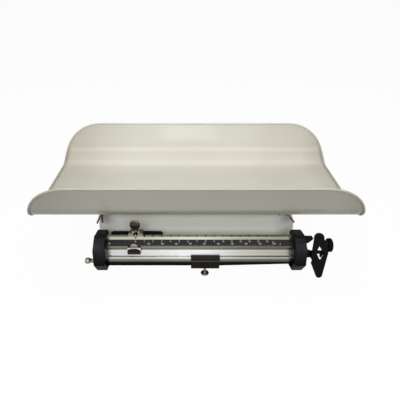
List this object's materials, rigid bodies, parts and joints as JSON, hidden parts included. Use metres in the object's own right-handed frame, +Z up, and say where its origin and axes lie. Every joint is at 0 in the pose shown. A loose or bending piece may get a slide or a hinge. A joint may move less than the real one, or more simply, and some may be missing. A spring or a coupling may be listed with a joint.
{
  "type": "mechanical baby scale",
  "caption": "Tabletop baby scale with a long curved tray on a rounded base, and in front a notched beam with sliding weights, a tare block and an indicator with an arrest knob.",
  "frame": {"origin": "middle of the whole scale's footprint, at table height", "axes": "+X along the beam towards the pointer, +Y from the beam side to the back, +Z up"},
  "size_m": [0.55, 0.2942, 0.195],
  "materials": {
    "cream_paint": "glossy cream enamel",
    "aluminium": "satin extruded",
    "black_plastic": "matt, lightly moulded",
    "black_paint": "semi-matt black enamel",
    "chrome": "polished",
    "nickel": "nickel-plated, turned",
    "steel": "plain, zinc-plated",
    "rubber": "matt"
  },
  "bodies": {
    "base": {"base_cover": "cream_paint", "base_plate": "steel", "front_left_foot": "rubber", "front_right_foot": "rubber", "rear_left_foot": "rubber", "rear_right_foot": "rubber", "long_lever_stand": "steel", "short_lever_stand": "steel", "beam_bracket": "black_paint", "fulcrum_bearing": "steel", "indicator_arm": "black_paint", "indicator_plate": "black_plastic"},
    "arrest": {"arrest_cam": "steel", "arrest_knob": "black_plastic"},
    "long_lever": {"long_lever": "steel"},
    "short_lever": {"short_lever": "steel"},
    "draft_stirrup": {"draft_stirrup": "steel"},
    "lever_link": {"lever_link": "steel"},
    "platform": {"load_carrier": "steel", "front_left_post": "steel", "front_right_post": "steel", "rear_left_post": "steel", "rear_right_post": "steel", "front_cradle_bar": "black_paint", "rear_cradle_bar": "black_paint", "left_rail": "black_paint", "right_rail": "black_paint"},
    "tray": {"tray": "cream_paint", "left_keeper": "black_paint", "right_keeper": "black_paint"},
    "left_latch": {"left_latch": "nickel"},
    "right_latch": {"right_latch": "nickel"},
    "beam": {"beam_extrusion": "aluminium", "scale_strip": "black_paint", "beam_skirt": "black_plastic", "left_cap": "black_plastic", "right_cap": "black_plastic", "knife_block": "steel", "fulcrum_knife": "steel", "load_knife": "steel", "strip_screw": "nickel", "left_end_screw": "nickel", "right_end_screw": "nickel", "stop_arm": "black_plastic", "pointer_arm": "black_plastic", "pointer_tip": "nickel"},
    "main_weight": {"weight_bar": "black_paint", "weight_carriage": "chrome"},
    "handle": {"handle_disc": "chrome", "handle_stem": "chrome"},
    "small_weight": {"small_weight": "chrome", "small_weight_tab": "nickel"},
    "tare_block": {"tare_block": "black_plastic"},
    "tare_screw": {"tare_screw": "nickel"},
    "zero_screw": {"zero_screw": "nickel"},
    "zero_weight": {"zero_weight": "nickel"}
  },
  "joints": [
    {"name": "beam_tilt", "type": "hinge", "parent": "base", "child": "beam", "pos_m": [-0.06, -0.076, 0.052], "axis": [0, -1, 0], "range_deg": [-1, 1], "stiffness_Nm_per_rad": 12},
    {"name": "draft_stirrup_slide", "type": "slide", "parent": "base", "child": "draft_stirrup", "axis": [0, 0, -1], "range_m": [-0.00055, 0.00055]},
    {"name": "long_lever_tilt", "type": "hinge", "parent": "base", "child": "long_lever", "pos_m": [0, 0.08786, 0.036], "axis": [1, 0, 0], "range_deg": [-0.19, 0.19]},
    {"name": "short_lever_tilt", "type": "hinge", "parent": "base", "child": "short_lever", "pos_m": [0, -0.04614, 0.014], "axis": [-1, 0, 0], "range_deg": [-0.19, 0.19]},
    {"name": "lever_link_slide", "type": "slide", "parent": "base", "child": "lever_link", "axis": [0, 0, -1], "range_m": [-0.00022, 0.00022]},
    {"name": "platform_sink", "type": "slide", "parent": "base", "child": "platform", "axis": [0, 0, -1], "range_m": [-0.0001, 0.0001]},
    {"name": "tray_lift", "type": "slide", "parent": "platform", "child": "tray", "axis": [0, 0, 1], "range_m": [0, 0.06]},
    {"name": "left_latch_turn", "type": "hinge", "parent": "platform", "child": "left_latch", "pos_m": [-0.16465, -0.05, 0.1106], "axis": [0, -1, 0], "range_deg": [-15, 69]},
    {"name": "right_latch_turn", "type": "hinge", "parent": "platform", "child": "right_latch", "pos_m": [0.16065, -0.05, 0.1106], "axis": [0, 1, 0], "range_deg": [-10, 82]},
    {"name": "arrest_turn", "type": "hinge", "parent": "base", "child": "arrest", "pos_m": [0.21, -0.11106, 0.08226], "axis": [1, 0, 0], "range_deg": [-90, 0]},
    {"name": "main_weight_slide", "type": "slide", "parent": "beam", "child": "main_weight", "axis": [1, 0, 0], "range_m": [0, 0.2205]},
    {"name": "handle_lift", "type": "hinge", "parent": "main_weight", "child": "handle", "pos_m": [-0.1013, -0.09014, 0.094], "axis": [-1, 0, 0], "range_deg": [0, 12], "stiffness_Nm_per_rad": 0.02, "springref_deg": -11.46},
    {"name": "small_weight_slide", "type": "slide", "parent": "beam", "child": "small_weight", "axis": [1, 0, 0], "range_m": [0, 0.233]},
    {"name": "tare_slide", "type": "slide", "parent": "beam", "child": "tare_block", "axis": [1, 0, 0], "range_m": [-0.075, 0.11]},
    {"name": "tare_screw_turn", "type": "hinge", "parent": "tare_block", "child": "tare_screw", "pos_m": [0.016, -0.11499, 0.031], "axis": [0, 0, 1], "range_deg": [0, 360]},
    {"name": "zero_screw_turn", "type": "hinge", "parent": "beam", "child": "zero_screw", "pos_m": [-0.135, -0.10614, 0.0426], "axis": [1, 0, 0], "range_deg": [-1080, 1080]},
    {"name": "zero_weight_slide", "type": "slide", "parent": "beam", "child": "zero_weight", "axis": [1, 0, 0], "range_m": [-0.0022, 0.0022]}
  ],
  "couplings": [
    {"joint": "draft_stirrup_slide", "follows": "beam_tilt", "m_per_rad": 0.03},
    {"joint": "long_lever_tilt", "follows": "beam_tilt", "ratio": 0.18271},
    {"joint": "short_lever_tilt", "follows": "beam_tilt", "ratio": 0.18271},
    {"joint": "lever_link_slide", "follows": "beam_tilt", "m_per_rad": 0.012242},
    {"joint": "platform_sink", "follows": "beam_tilt", "m_per_rad": 0.0054813},
    {"joint": "zero_weight_slide", "follows": "zero_screw_turn", "m_per_rad": 0.00011141}
  ]
}
